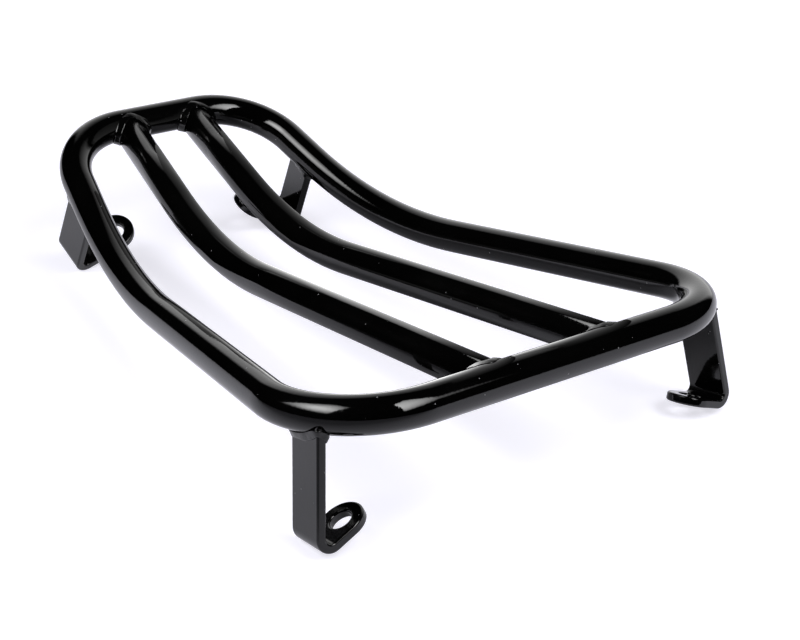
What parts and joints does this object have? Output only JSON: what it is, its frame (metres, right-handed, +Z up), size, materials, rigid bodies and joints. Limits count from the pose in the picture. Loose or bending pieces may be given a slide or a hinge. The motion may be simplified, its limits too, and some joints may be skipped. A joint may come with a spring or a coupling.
{
  "type": "tubular luggage rack",
  "caption": "Low tubular luggage rack: a bent tube loop with long bars let in between its ends, on bent strap feet with screw holes.",
  "frame": {"origin": "middle of the footprint, on the plane that the feet stand on", "axes": "+X to the rack's right, +Y from the wide front end to the narrow rear end, +Z up"},
  "size_m": [0.2286, 0.3395, 0.0701],
  "materials": {
    "coated_tube": "gloss black powder coat on bent steel tube",
    "coated_strap": "gloss black powder coat on flat steel bar, edges rounded by the coat",
    "coated_weld": "gloss black powder coat over a rippled fillet weld"
  },
  "bodies": {
    "root": {"outer_loop": "coated_tube", "left_bar": "coated_tube", "right_bar": "coated_tube", "front_left_foot": "coated_strap", "front_right_foot": "coated_strap", "rear_left_foot": "coated_strap", "rear_right_foot": "coated_strap", "front_left_bar_weld": "coated_weld", "front_right_bar_weld": "coated_weld", "rear_left_bar_weld": "coated_weld", "rear_right_bar_weld": "coated_weld", "front_left_foot_weld": "coated_weld", "front_right_foot_weld": "coated_weld", "rear_left_foot_weld": "coated_weld", "rear_right_foot_weld": "coated_weld"}
  },
  "joints": []
}
